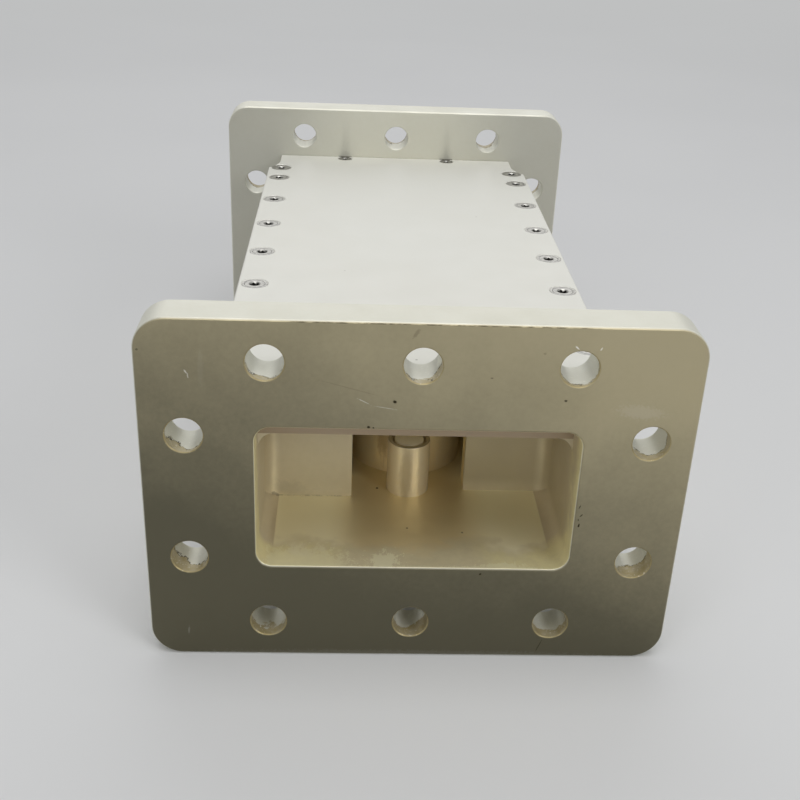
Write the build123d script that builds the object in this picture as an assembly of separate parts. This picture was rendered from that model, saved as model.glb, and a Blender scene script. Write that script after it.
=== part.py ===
from build123d import *
from math import sqrt
import os

# Waveguide bandpass filter for rectangular waveguide with a 58.17 x 29.08 mm opening.
# Millimetres. The origin is the centre of the front port's mating face, +Y runs along the
# waveguide to the rear port, +Z is up towards the screwed-on cover.

# Waveguide opening and length
OPENING_W = 58.17
OPENING_H = 29.08
OPENING_CORNER_R = 3.0
OPENING_EDGE_BREAK = 0.3
LENGTH = 168.0

# Flange plates: the outer rows of holes stand one margin inside the plate's edges
FLANGE_W = 98.43
FLANGE_H = 69.85
FLANGE_T = 8.3
FLANGE_CORNER_R = 6.0
FLANGE_EDGE_BREAK = 0.35
HOLE_MARGIN = 7.94
CORNER_HOLE_X = 26.99
SIDE_HOLE_Z = 12.70
FLANGE_HOLE_D = 6.75
HOLE_RIM_BREAK = 0.2

# Housing block, with a neck at each end that leaves room for the side bolts of the flange
SIDE_WALL_T = 7.5
FLOOR_T = 6.56
TROUGH_H = 31.64
NECK_WALL_T = 4.69
NECK_STRAIGHT = 6.3
NECK_CUTTER_R = 12.0

# Trough along the waveguide: end wall, end pocket and end iris, then three cavities and the two
# irises between them
END_WALL_T = 6.2
END_WINDOW_DROP = 5.5
END_POCKET_LEN = 10.8
JAMB_STAGGER = 3.2
END_IRIS_T = 8.6
MID_IRIS_T = 11.1
IRIS_GAP_W = 23.3
TROUGH_CORNER_R = 3.0

# Resonators and coupling posts stand in sockets in the floor, with tuning rods through them
SPIGOT_DEPTH = 2.0
SPIGOT_CLEARANCE = 0.03
RESONATOR_IRIS_CLEARANCE = 1.0
RESONATOR_H = 20.0
RESONATOR_EDGE_R = 0.8
RESONATOR_SPIGOT_D = 16.0
RESONATOR_ROD_D = 8.0
RESONATOR_ROD_GAP = 0.5
RESONATOR_ROD_RISE = 3.5
POST_H = 11.5
POST_WALL = 0.85
POST_EDGE_R = 0.25
POST_ROD_D = 6.0
POST_ROD_GAP = 0.5

# Lower ends of the tuning rods, and the lock nuts on the underside
ROD_TAIL = 2.6
ROD_END_BREAK = 0.4
ROD_SLOT_W = 1.2
ROD_SLOT_DEPTH = 1.4
THREAD_CLEARANCE = 0.03
RESONATOR_NUT_AF = 13.0
RESONATOR_NUT_T = 4.0
POST_NUT_AF = 10.0
POST_NUT_T = 3.2
NUT_EDGE_BREAK = 0.7

# Cover plate
COVER_T = 4.0
COVER_END_CLEARANCE = 0.1
COVER_EDGE_BREAK = 0.25

# Cover screws: countersunk, larger along the edges than in the end necks
EDGE_SCREW_D = 3.0
EDGE_SCREW_LEN = 10.0
EDGE_SCREW_HEAD_D = 5.5
END_SCREW_D = 2.0
END_SCREW_LEN = 8.0
END_SCREW_HEAD_D = 4.0
SCREW_SINK = 0.1
SCREW_HOLE_ROOM = 0.2
SCREW_SEAT_CLEARANCE = 0.02
SCREW_TIP_ROOM = 1.0
COUNTERSINK_MARGIN = 0.25

# Six-lobe recess of a screw, in shares of its head's diameter
LOBE_COUNT = 6
LOBE_REACH_SHARE = 0.21
LOBE_R_SHARE = 0.055
RECESS_DEPTH_SHARE = 0.2

# Places of the cover screws
EDGE_SCREW_INSET = 3.55
LAST_SCREW_TO_NOTCH = 2.8
LAST_SCREW_STEP = 10.1
EVEN_SPACES = 5
END_SCREW_X = 15.0
END_HEAD_TO_FLANGE = 0.05

# Sizes that follow from those above
MID_Y = LENGTH / 2
HOUSING_LEN = LENGTH - 2 * FLANGE_T
HOUSING_W = OPENING_W + 2 * SIDE_WALL_T
SIDE_HOLE_X = FLANGE_W / 2 - HOLE_MARGIN
TOP_HOLE_Z = FLANGE_H / 2 - HOLE_MARGIN
NECK_HALF_W = OPENING_W / 2 + NECK_WALL_T
EDGE_SCREW_X = HOUSING_W / 2 - EDGE_SCREW_INSET
END_SCREW_Y = FLANGE_T + END_HEAD_TO_FLANGE + END_SCREW_HEAD_D / 2
FLOOR_Z = -OPENING_H / 2
UNDERSIDE_Z = FLOOR_Z - FLOOR_T
HOUSING_TOP_Z = FLOOR_Z + TROUGH_H
COVER_TOP_Z = HOUSING_TOP_Z + COVER_T
END_POCKET_Y = FLANGE_T + END_WALL_T
END_IRIS_Y = END_POCKET_Y + END_POCKET_LEN
CAVITY_LEN = (LENGTH - 2 * (END_IRIS_Y + END_IRIS_T + MID_IRIS_T)) / 3
RESONATOR_D = CAVITY_LEN - 2 * RESONATOR_IRIS_CLEARANCE
END_CAVITY_Y = END_IRIS_Y + END_IRIS_T + CAVITY_LEN / 2
END_POST_Y = END_IRIS_Y + END_IRIS_T / 2
MID_POST_Y = (END_CAVITY_Y + MID_Y) / 2
RESONATOR_YS = [END_CAVITY_Y, MID_Y, LENGTH - END_CAVITY_Y]
POST_YS = [END_POST_Y, MID_POST_Y, LENGTH - MID_POST_Y, LENGTH - END_POST_Y]
POST_BORE_R = POST_ROD_D / 2 + POST_ROD_GAP
POST_R = POST_BORE_R + POST_WALL


def flange_hole_places():
    """X and Z of the ten bolt holes of one flange."""
    places = [(x, z) for x in (-CORNER_HOLE_X, 0, CORNER_HOLE_X) for z in (-TOP_HOLE_Z, TOP_HOLE_Z)]
    places += [(x, z) for x in (-SIDE_HOLE_X, SIDE_HOLE_X) for z in (-SIDE_HOLE_Z, SIDE_HOLE_Z)]
    return places


def end_screw_places():
    """X and Y of the two screws in the front neck."""
    return [(x, END_SCREW_Y) for x in (-END_SCREW_X, END_SCREW_X)]


def last_screw_y():
    """Y of the edge screw nearest the front port, which stands just clear of the notch's arc."""
    across = NECK_HALF_W + NECK_CUTTER_R - EDGE_SCREW_X
    reach = NECK_CUTTER_R + LAST_SCREW_TO_NOTCH
    return FLANGE_T + NECK_STRAIGHT + sqrt(max(reach**2 - across**2, 0))


def edge_screw_ys():
    """Y of the screws along one long edge: evenly spaced, with a closer one at each end."""
    first = last_screw_y()
    second = first + LAST_SCREW_STEP
    pitch = (LENGTH - 2 * second) / EVEN_SPACES
    even = [second + pitch * i for i in range(EVEN_SPACES + 1)]
    return [first] + even + [LENGTH - first]


def edge_screw_places(side):
    """X and Y of the screws along one long edge, left at side -1 and right at side 1."""
    return [(side * EDGE_SCREW_X, y) for y in edge_screw_ys()]


def both_ends(places):
    """X and Y places of the front neck together with the same places in the rear neck."""
    return places + [(x, LENGTH - y) for x, y in places]


def turned_to_rear(shape):
    """The same shape at the rear port: half a turn about the upright axis at mid-length."""
    return Pos(0, LENGTH, 0) * Rot(0, 0, 180) * shape


def make_front_flange():
    """Flange plate with its opening and ten bolt holes."""
    plate = extrude(Plane.XZ * RectangleRounded(FLANGE_W, FLANGE_H, FLANGE_CORNER_R), -FLANGE_T)
    rims = plate.faces().filter_by(Axis.Y).edges()
    plate = chamfer(rims, FLANGE_EDGE_BREAK)
    plate -= extrude(Plane.XZ * RectangleRounded(OPENING_W, OPENING_H, OPENING_CORNER_R), -FLANGE_T)
    opening_rim = plate.faces().sort_by(Axis.Y)[0].inner_wires().edges()
    plate = chamfer(opening_rim, OPENING_EDGE_BREAK)
    for x, z in flange_hole_places():
        plate -= flange_hole(x, z)
    return plate


def flange_hole(x, z):
    """Cutter for one bolt hole, with both rims broken."""
    r = FLANGE_HOLE_D / 2
    rim = r + HOLE_RIM_BREAK
    half = Polyline(
        (0, 0), (rim, 0), (r, HOLE_RIM_BREAK),
        (r, FLANGE_T - HOLE_RIM_BREAK), (rim, FLANGE_T), (0, FLANGE_T),
        close=True,
    )
    return Pos(x, 0, z) * revolve(make_face(half), Axis.Y)


def housing_outline(length):
    """Plan outline of housing and cover about mid-length: a block necked at its four corners."""
    outline = Rectangle(HOUSING_W, length)
    for sx in (-1, 1):
        for sy in (-1, 1):
            centre_x = sx * (NECK_HALF_W + NECK_CUTTER_R)
            end_y = sy * HOUSING_LEN / 2
            outline -= Pos(centre_x, end_y - sy * NECK_STRAIGHT) * Circle(NECK_CUTTER_R)
            outline -= Pos(centre_x, end_y) * Rectangle(2 * NECK_CUTTER_R, 2 * NECK_STRAIGHT)
    return Pos(0, MID_Y) * outline


def front_pocket():
    """Cutter for the pocket behind the front end wall: its left jamb stands nearer than its right one."""
    near = Pos(0, END_POCKET_Y + END_POCKET_LEN / 2) * Rectangle(OPENING_W, END_POCKET_LEN)
    far = Pos(OPENING_W / 4, END_IRIS_Y + JAMB_STAGGER / 2) * Rectangle(OPENING_W / 2, JAMB_STAGGER)
    plan = near + far
    jambs = [v for v in side_corners(plan) if v.Y > END_POCKET_Y + 0.01]
    block = extrude(Pos(0, 0, FLOOR_Z) * fillet(jambs, TROUGH_CORNER_R), TROUGH_H)
    height = TROUGH_H + 2 * OPENING_CORNER_R
    section = Pos(0, FLOOR_Z + height / 2) * RectangleRounded(OPENING_W, height, OPENING_CORNER_R)
    passage = Pos(0, END_POCKET_Y, 0) * extrude(Plane.XZ * section, -END_POCKET_LEN - JAMB_STAGGER)
    return block & passage


def side_corners(plan):
    """Corners of a plan that lie on the side walls of the trough."""
    return [v for v in plan.vertices() if abs(abs(v.X) - OPENING_W / 2) < 0.01]


def trough_plan():
    """Plan of the three cavities, joined to each other and to the end pockets by the iris gaps."""
    plan = Pos(0, MID_Y) * Rectangle(IRIS_GAP_W, HOUSING_LEN - 2 * END_WALL_T)
    for y in RESONATOR_YS:
        plan += Pos(0, y) * Rectangle(OPENING_W, CAVITY_LEN)
    return fillet(side_corners(plan), TROUGH_CORNER_R)


def end_window():
    """Cutter for the window in the front end wall, lower at the top than the flange's opening."""
    height = OPENING_H - END_WINDOW_DROP
    plan = Pos(0, FLOOR_Z + height / 2) * RectangleRounded(OPENING_W, height, OPENING_CORNER_R)
    return Pos(0, FLANGE_T, 0) * extrude(Plane.XZ * plan, -END_WALL_T)


def floor_socket(y, spigot_r, rod_d):
    """Cutter for a spigot seat in the floor and the tapped hole below it."""
    seat = Pos(0, y, FLOOR_Z - SPIGOT_DEPTH / 2) * Cylinder(spigot_r + SPIGOT_CLEARANCE, SPIGOT_DEPTH)
    tapped = Pos(0, y, FLOOR_Z - FLOOR_T / 2) * Cylinder(rod_d / 2 + THREAD_CLEARANCE, FLOOR_T)
    return seat + tapped


def make_housing():
    """Milled block: outline, trough, end windows, floor sockets and tapped screw holes."""
    block = extrude(Pos(0, 0, UNDERSIDE_Z) * housing_outline(HOUSING_LEN), HOUSING_TOP_Z - UNDERSIDE_Z)
    block -= extrude(Pos(0, 0, FLOOR_Z) * trough_plan(), TROUGH_H)
    for cutter in (front_pocket(), end_window()):
        block -= cutter
        block -= turned_to_rear(cutter)
    for y in RESONATOR_YS:
        block -= floor_socket(y, RESONATOR_SPIGOT_D / 2, RESONATOR_ROD_D)
    for y in POST_YS:
        block -= floor_socket(y, POST_R, POST_ROD_D)
    edge_hole = tapped_hole(EDGE_SCREW_D, EDGE_SCREW_LEN)
    for x, y in edge_screw_places(-1) + edge_screw_places(1):
        block -= Pos(x, y, HOUSING_TOP_Z) * edge_hole
    end_hole = tapped_hole(END_SCREW_D, END_SCREW_LEN)
    for x, y in both_ends(end_screw_places()):
        block -= Pos(x, y, HOUSING_TOP_Z) * end_hole
    return block


def tapped_hole(shank_d, length):
    """Cutter for the blind hole of one cover screw, with its mouth at Z = 0."""
    depth = length - COVER_T + SCREW_TIP_ROOM
    return Cylinder(shank_d / 2 + THREAD_CLEARANCE, depth, align=(Align.CENTER, Align.CENTER, Align.MAX))


def make_cover():
    """Cover plate with countersunk screw holes."""
    outline = housing_outline(HOUSING_LEN - 2 * COVER_END_CLEARANCE)
    plate = extrude(Pos(0, 0, HOUSING_TOP_Z) * outline, COVER_T)
    plate = chamfer(plate.faces().sort_by(Axis.Z)[-1].edges(), COVER_EDGE_BREAK)
    edge_hole = countersunk_hole(EDGE_SCREW_D, EDGE_SCREW_HEAD_D)
    for x, y in edge_screw_places(-1) + edge_screw_places(1):
        plate -= Pos(x, y, COVER_TOP_Z) * edge_hole
    end_hole = countersunk_hole(END_SCREW_D, END_SCREW_HEAD_D)
    for x, y in both_ends(end_screw_places()):
        plate -= Pos(x, y, COVER_TOP_Z) * end_hole
    return plate


def countersunk_hole(shank_d, head_d):
    """Cutter for one screw hole of the cover, with the cover's top face at Z = 0."""
    rim_r = head_d / 2 + COUNTERSINK_MARGIN
    hole_r = shank_d / 2 + SCREW_HOLE_ROOM
    half = Polyline(
        (0, 0), (rim_r, 0), (hole_r, hole_r - rim_r), (hole_r, -COVER_T), (0, -COVER_T), close=True,
    )
    return revolve(Plane.XZ * make_face(half), Axis.Z)


def cover_screw(shank_d, head_d, length):
    """One countersunk screw about its own axis, with the cover's top face at Z = 0."""
    head_r = head_d / 2
    shank_r = shank_d / 2
    rim_z = SCREW_SEAT_CLEARANCE - COUNTERSINK_MARGIN
    cone_end_z = rim_z - (head_r - shank_r)
    half = Polyline(
        (0, -SCREW_SINK), (head_r, -SCREW_SINK), (head_r, rim_z), (shank_r, cone_end_z),
        (shank_r, -length), (0, -length),
        close=True,
    )
    screw = revolve(Plane.XZ * make_face(half), Axis.Z)
    depth = RECESS_DEPTH_SHARE * head_d
    return screw - Pos(0, 0, -SCREW_SINK - depth) * extrude(six_lobe_plan(head_d), depth)


def six_lobe_plan(head_d):
    """Plan of the six-lobe recess in a screw head."""
    lobe_r = LOBE_R_SHARE * head_d
    core_r = LOBE_REACH_SHARE * head_d - lobe_r
    plan = Circle(core_r)
    for i in range(LOBE_COUNT):
        plan += Rot(0, 0, 360 * i / LOBE_COUNT) * Pos(core_r, 0) * Circle(lobe_r)
    return plan


def screw_group(places, shank_d, head_d, length):
    """Cover screws of one size at the given X and Y places, as separate solids."""
    screw = cover_screw(shank_d, head_d, length)
    return Compound(children=[Pos(x, y, COVER_TOP_Z) * screw for x, y in places])


def make_resonator(y):
    """Large round resonator with a spigot in the floor and a bore for its tuning rod."""
    body = Cylinder(RESONATOR_D / 2, RESONATOR_H, align=(Align.CENTER, Align.CENTER, Align.MIN))
    body = fillet(body.edges().sort_by(Axis.Z)[-1], RESONATOR_EDGE_R)
    body += Cylinder(RESONATOR_SPIGOT_D / 2, SPIGOT_DEPTH, align=(Align.CENTER, Align.CENTER, Align.MAX))
    body -= Cylinder(RESONATOR_ROD_D / 2 + RESONATOR_ROD_GAP, 2 * (RESONATOR_H + SPIGOT_DEPTH))
    return Pos(0, y, FLOOR_Z) * body


def make_post(y):
    """Slim coupling post: a thin tube pressed into the floor."""
    tube = Cylinder(POST_R, POST_H + SPIGOT_DEPTH, align=(Align.CENTER, Align.CENTER, Align.MIN))
    tube = fillet(tube.edges().sort_by(Axis.Z)[-1], POST_EDGE_R)
    tube -= Cylinder(POST_BORE_R, 2 * (POST_H + SPIGOT_DEPTH))
    return Pos(0, y, FLOOR_Z - SPIGOT_DEPTH) * tube


def make_rod(y, rod_d, nut_t, top_z):
    """Tuning rod from its slotted tail below the nut up to its flat top."""
    tail_z = UNDERSIDE_Z - nut_t - ROD_TAIL
    rod = Cylinder(rod_d / 2, top_z - tail_z, align=(Align.CENTER, Align.CENTER, Align.MIN))
    rod = chamfer(rod.edges().sort_by(Axis.Z)[0], ROD_END_BREAK)
    rod -= Box(rod_d, ROD_SLOT_W, 2 * ROD_SLOT_DEPTH)
    return Pos(0, y, tail_z) * rod


def make_nut(y, rod_d, across_flats, thickness):
    """Hexagon lock nut against the underside, with its corners turned off on the outside."""
    corner_r = across_flats / sqrt(3)
    nut = extrude(RegularPolygon(across_flats / 2, 6, major_radius=False), thickness)
    turned = Cylinder(corner_r, thickness, align=(Align.CENTER, Align.CENTER, Align.MIN))
    turned = chamfer(turned.edges().sort_by(Axis.Z)[0], NUT_EDGE_BREAK)
    nut = (nut & turned) - Cylinder(rod_d / 2 + THREAD_CLEARANCE, 4 * thickness)
    return Pos(0, y, UNDERSIDE_Z - thickness) * nut


def all_nodes():
    """Every node's name and shape."""
    flange = make_front_flange()
    nodes = {
        "housing": make_housing(),
        "front_flange": flange,
        "rear_flange": turned_to_rear(flange),
        "top_cover": make_cover(),
    }
    edge_size = (EDGE_SCREW_D, EDGE_SCREW_HEAD_D, EDGE_SCREW_LEN)
    nodes["cover_screws_left"] = screw_group(edge_screw_places(-1), *edge_size)
    nodes["cover_screws_right"] = screw_group(edge_screw_places(1), *edge_size)
    end_size = (END_SCREW_D, END_SCREW_HEAD_D, END_SCREW_LEN)
    nodes["cover_end_screws_front"] = screw_group(end_screw_places(), *end_size)
    rear_places = [(x, LENGTH - y) for x, y in end_screw_places()]
    nodes["cover_end_screws_rear"] = screw_group(rear_places, *end_size)
    resonator_top = FLOOR_Z + RESONATOR_H + RESONATOR_ROD_RISE
    for i, y in enumerate(RESONATOR_YS, 1):
        nodes[f"resonator_{i}"] = make_resonator(y)
        nodes[f"resonator_rod_{i}"] = make_rod(y, RESONATOR_ROD_D, RESONATOR_NUT_T, resonator_top)
        nodes[f"resonator_nut_{i}"] = make_nut(y, RESONATOR_ROD_D, RESONATOR_NUT_AF, RESONATOR_NUT_T)
    post_top = FLOOR_Z + POST_H
    for i, y in enumerate(POST_YS, 1):
        nodes[f"coupling_post_{i}"] = make_post(y)
        nodes[f"coupling_rod_{i}"] = make_rod(y, POST_ROD_D, POST_NUT_T, post_top)
        nodes[f"coupling_nut_{i}"] = make_nut(y, POST_ROD_D, POST_NUT_AF, POST_NUT_T)
    return nodes


os.makedirs("parts", exist_ok=True)
for name, shape in all_nodes().items():
    export_step(shape, f"parts/{name}.step")
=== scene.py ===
"""Dresses the waveguide bandpass filter and stands it in a plain studio.

Places are in the part's own frame: the origin is the centre of the front port, +Y runs along
the waveguide to the rear port and +Z is up towards the screwed cover. Sizes are written in
millimetres and turned into metres by MM.
"""

import logging
import math
from collections.abc import Callable
from dataclasses import dataclass
from enum import Enum
from functools import cached_property

import bmesh
import bpy
from mathutils import Matrix, Vector


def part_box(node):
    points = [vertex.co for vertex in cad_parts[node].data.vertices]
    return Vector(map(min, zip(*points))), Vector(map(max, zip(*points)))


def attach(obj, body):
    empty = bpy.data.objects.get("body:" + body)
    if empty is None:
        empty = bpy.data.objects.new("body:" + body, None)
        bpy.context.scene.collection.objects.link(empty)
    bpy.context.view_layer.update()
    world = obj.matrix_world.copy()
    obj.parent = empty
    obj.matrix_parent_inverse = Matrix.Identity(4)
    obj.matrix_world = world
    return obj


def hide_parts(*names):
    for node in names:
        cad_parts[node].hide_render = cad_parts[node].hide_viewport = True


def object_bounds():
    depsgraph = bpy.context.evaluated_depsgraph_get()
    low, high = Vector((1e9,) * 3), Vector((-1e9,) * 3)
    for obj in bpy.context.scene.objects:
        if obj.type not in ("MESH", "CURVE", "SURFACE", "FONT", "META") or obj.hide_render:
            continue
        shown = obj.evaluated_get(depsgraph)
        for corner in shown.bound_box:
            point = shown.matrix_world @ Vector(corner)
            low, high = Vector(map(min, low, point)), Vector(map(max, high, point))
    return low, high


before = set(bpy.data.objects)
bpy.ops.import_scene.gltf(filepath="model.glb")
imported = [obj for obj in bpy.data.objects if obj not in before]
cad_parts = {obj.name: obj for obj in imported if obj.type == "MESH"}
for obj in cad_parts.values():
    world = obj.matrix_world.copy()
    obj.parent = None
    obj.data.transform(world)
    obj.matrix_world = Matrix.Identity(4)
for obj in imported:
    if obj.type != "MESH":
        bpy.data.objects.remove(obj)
CAD_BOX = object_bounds()

LOG = logging.getLogger("waveguide_filter")
BODY = "root"
MM = 0.001
Material = bpy.types.Material
Node = bpy.types.Node
Piece = bpy.types.Object
Socket = bpy.types.NodeSocket
Number = Socket | float
Colour = tuple[float, float, float]
Triple = tuple[float, float, float]


class Slot(Enum):
    """The material slots of the record."""

    HOUSING = "plated_housing"
    FLANGE = "plated_flange"
    COVER = "plated_cover"
    RESONATOR = "plated_resonator"
    ROD = "plated_rod"
    SCREW = "steel_screw"
    NUT = "steel_nut"


def span(node: str) -> tuple[Vector, Vector]:
    """Lowest and highest corner of a CAD node, in millimetres."""
    low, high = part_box(node)
    return low / MM, high / MM


# The waveguide opening and the bolt holes of a flange, from the waveguide's axis, in millimetres
MOUTH_X, MOUTH_Z, MOUTH_CORNER = 29.085, 14.54, 3.0
CORNER_X, CORNER_Z = 26.99, 26.985
SIDE_X, SIDE_Z = 41.275, 12.7
HOLE_RADIUS = 3.375
TROUGH_FLOOR = -MOUTH_Z
MIDDLE = span("rear_flange")[1].y / 2


# Shader sheets


class ShaderSheet:
    """The node sheet of one finish, with coordinates in millimetres in the part's frame."""

    name: str

    @cached_property
    def material(self) -> Material:
        """The finish's material.

        Returns:
            The material, with nodes.
        """
        material = bpy.data.materials.new(self.name)
        material.use_nodes = True
        return material

    @cached_property
    def shader(self) -> Node:
        """The material's own shader."""
        return self.material.node_tree.nodes["Principled BSDF"]

    @cached_property
    def point(self) -> Socket:
        """Place on the part.

        Returns:
            The place.
        """
        scale = self.add("VectorMath", self.add("TexCoord").outputs["Object"], operation="SCALE")
        self.feed(scale.inputs["Scale"], 1 / MM)
        return scale.outputs["Vector"]

    @cached_property
    def axes(self) -> bpy.types.NodeOutputs:
        """X, Y and Z of that place."""
        return self.add("SeparateXYZ", self.point).outputs

    @property
    def x(self) -> Socket:
        """Place across the waveguide."""
        return self.axes[0]

    @property
    def y(self) -> Socket:
        """Place along the waveguide."""
        return self.axes[1]

    @property
    def z(self) -> Socket:
        """Height."""
        return self.axes[2]

    @cached_property
    def aside(self) -> Socket:
        """Distance to either side of the waveguide's middle."""
        return self.math("ABSOLUTE", self.x)

    @cached_property
    def off_middle(self) -> Socket:
        """Distance along the waveguide from the part's middle."""
        return self.math("ABSOLUTE", self.less(self.y, MIDDLE))

    @cached_property
    def depth(self) -> Socket:
        """Depth below the nearer port's mating face."""
        return self.less(MIDDLE, self.off_middle)

    def feed(self, socket: Socket, value: Number | tuple) -> None:
        """Links a socket to one input, or sets it to a value."""
        if isinstance(value, Socket):
            self.material.node_tree.links.new(value, socket)
        else:
            socket.default_value = value

    def add(self, kind: str, *values: Number | tuple, **options: str | bool) -> Node:
        """Adds one node.

        Args:
            kind: The node's kind, such as "Math".
            values: What its first inputs get.
            options: Its options.

        Returns:
            The node.
        """
        node = self.material.node_tree.nodes.new(f"ShaderNode{kind}")
        for option, choice in options.items():
            setattr(node, option, choice)
        for socket, value in zip(node.inputs, values):
            self.feed(socket, value)
        return node

    def math(self, operation: str, first: Number, *others: Number) -> Socket:
        """Joins any number of terms by one operation.

        Args:
            operation: The operation, such as "ADD".
            first: The first term.
            others: The other terms, which are taken in one by one.

        Returns:
            The result.
        """
        if not others:
            return self.add("Math", first, operation=operation).outputs[0]
        for term in others:
            first = self.add("Math", first, term, operation=operation).outputs[0]
        return first

    def total(self, first: Socket, *others: Number) -> Socket:
        """Sum of the terms."""
        return self.math("ADD", first, *others) if others else first

    def most(self, first: Socket, *others: Number) -> Socket:
        """Largest of the terms."""
        return self.math("MAXIMUM", first, *others) if others else first

    def times(self, first: Socket, *others: Number) -> Socket:
        """Product of the terms."""
        return self.math("MULTIPLY", first, *others)

    def less(self, first: Number, second: Number) -> Socket:
        """First term less the second."""
        return self.math("SUBTRACT", first, second)

    def reach(self, across: Socket, up: Socket) -> Socket:
        """Length of a flat vector."""
        return self.math("SQRT", self.total(self.times(across, across), self.times(up, up)))

    def fade(self, value: Socket, low: float, high: float, start: float = 0.0, end: float = 1.0) -> Socket:
        """Smooth step of a value: start up to low, end from high on."""
        return self.add("MapRange", value, low, high, start, end, interpolation_type="SMOOTHSTEP").outputs[0]

    def within(self, value: Socket, low: float, high: float, soft: float = 0.1) -> Socket:
        """Share that is 1 between two limits, with a soft step outside each."""
        return self.times(self.fade(value, low - soft, low), self.fade(value, high, high + soft, 1.0, 0.0))

    def noise(self, grain: float, detail: float = 3.0, rough: float = 0.5, seed: float = 0.0,
              stretch: Triple = (1.0, 1.0, 1.0)) -> Socket:
        """Fractal noise about one half.

        Args:
            grain: Size of the largest blotch, in millimetres.
            detail: Number of octaves.
            rough: Share kept by each finer octave.
            seed: Shifts the pattern, in millimetres.
            stretch: How many times longer the blotches are along each axis.

        Returns:
            The noise value.
        """
        shift = (seed, 1.7 * seed, -seed)
        place = self.add("Mapping", self.point, shift, (0.0, 0.0, 0.0), tuple(1 / s for s in stretch))
        node = self.add("TexNoise", place.outputs[0])
        for name, number in (("Scale", 1 / grain), ("Detail", detail), ("Roughness", rough)):
            node.inputs[name].default_value = number
        return node.outputs["Fac"]

    def drift(self, low: float, high: float, *cloud: float | Triple, edge: float = 0.3) -> Socket:
        """Cloudy value: low up to one edge of the noise that cloud describes, high from the other on."""
        return self.fade(self.noise(*cloud), edge, 1 - edge, low, high)

    def spot(self, centre: Triple, half: Triple, share: float, start: float = 0.6,
             ragged: Socket | None = None, turn: float = 0.0) -> Socket:
        """Share of one oval spot.

        Args:
            centre: Middle of the oval, in millimetres.
            half: Half sizes along X, Y and Z before the turn, in millimetres.
            share: The share in its middle.
            start: Where it starts to fade, as a share of the half size.
            ragged: Factor that makes its rim ragged.
            turn: Turn about Y, in degrees, which lifts the +X end.

        Returns:
            The share.
        """
        tilt = (0.0, -math.radians(turn), 0.0)
        place = self.add("Mapping", self.point, centre, tilt, half, vector_type="TEXTURE")
        rim = self.add("VectorMath", place.outputs[0], operation="LENGTH").outputs["Value"]
        if ragged:
            rim = self.times(rim, ragged)
        return self.fade(rim, start, 1.0, share, 0.0)

    def blend(self, share: Socket, first: Socket | Colour, second: Socket | Colour) -> Socket:
        """Mixes two colours.

        Args:
            share: Share of the second colour.
            first: Colour at share 0.
            second: Colour at share 1.

        Returns:
            The mixed colour.
        """
        node = self.add("Mix", share, data_type="RGBA", clamp_factor=True)
        for socket, colour in ((node.inputs[6], first), (node.inputs[7], second)):
            self.feed(socket, colour if isinstance(colour, Socket) else (*colour, 1.0))
        return node.outputs[2]

    def close(self, colour: Socket, roughness: Socket, height: Socket, depth: float,
              metallic: Number = 1.0) -> Material:
        """Wires the results into the shader.

        Args:
            colour: Base colour.
            roughness: Roughness.
            height: Surface height, about 0 to 1.
            depth: What a height of 1 stands for, in millimetres.
            metallic: Metallic share.

        Returns:
            The finished material.
        """
        bump = self.add("Bump")
        for node, values in (
            (bump, {"Strength": 1.0, "Distance": depth * MM, "Height": height}),
            (self.shader, {"Base Color": colour, "Roughness": roughness, "Metallic": metallic}),
            (self.shader, {"Normal": bump.outputs[0]}),
        ):
            for name, value in values.items():
                self.feed(node.inputs[name], value)
        return self.material


def seen_directly(tree: bpy.types.NodeTree) -> Socket:
    """Share that is 1 for rays that show a backdrop, and 0 for those that light the part.

    Args:
        tree: The node tree to add to.

    Returns:
        The share.
    """
    rays = tree.nodes.new("ShaderNodeLightPath")
    share = rays.outputs["Is Camera Ray"]
    for name in ("Is Glossy Ray", "Is Transmission Ray"):
        either = tree.nodes.new("ShaderNodeMath")
        either.operation = "MAXIMUM"
        tree.links.new(share, either.inputs[0])
        tree.links.new(rays.outputs[name], either.inputs[1])
        share = either.outputs[0]
    return share


# Finishes


BACKDROP = (0.521, 0.527, 0.527)
# Passage floor: painted lighter at its sides and darker in its middle, as the light and shade it reflects
FLOOR_SIDES_LIT = (1.0, 0.94, 0.68)
FLOOR_MIDDLE_SHADED = (0.83, 0.70, 0.415)
# Passage walls: pale at the port, partly painted light where light falls in, darker further in
PORT_LINING = (0.88, 0.81, 0.485)
POCKET_LINING = (0.71, 0.63, 0.465)
CAVITY_LINING = (1.0, 0.82, 0.42)
POCKET_SHADE = (0.54, 0.47, 0.32)
# Colour of the sill's pale deposits and of the painted light there
PALE_DEPOSIT_AND_LIGHT = (1.0, 0.97, 0.70)
# Colour of bare bright metal, also used for painted highlights and glints
BARE_METAL_AND_HIGHLIGHT = (0.97, 0.95, 0.88)
SHADOW_GREY = (0.03, 0.03, 0.028)
# Colour of the fasteners' dirt and painted shade
SCREW_DIRT_AND_SHADE = (0.02, 0.018, 0.015)
POST_GREY = (0.55, 0.52, 0.56)
POST_RING = (0.30, 0.24, 0.11)
JAMB_DEPTH = 28.8


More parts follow.
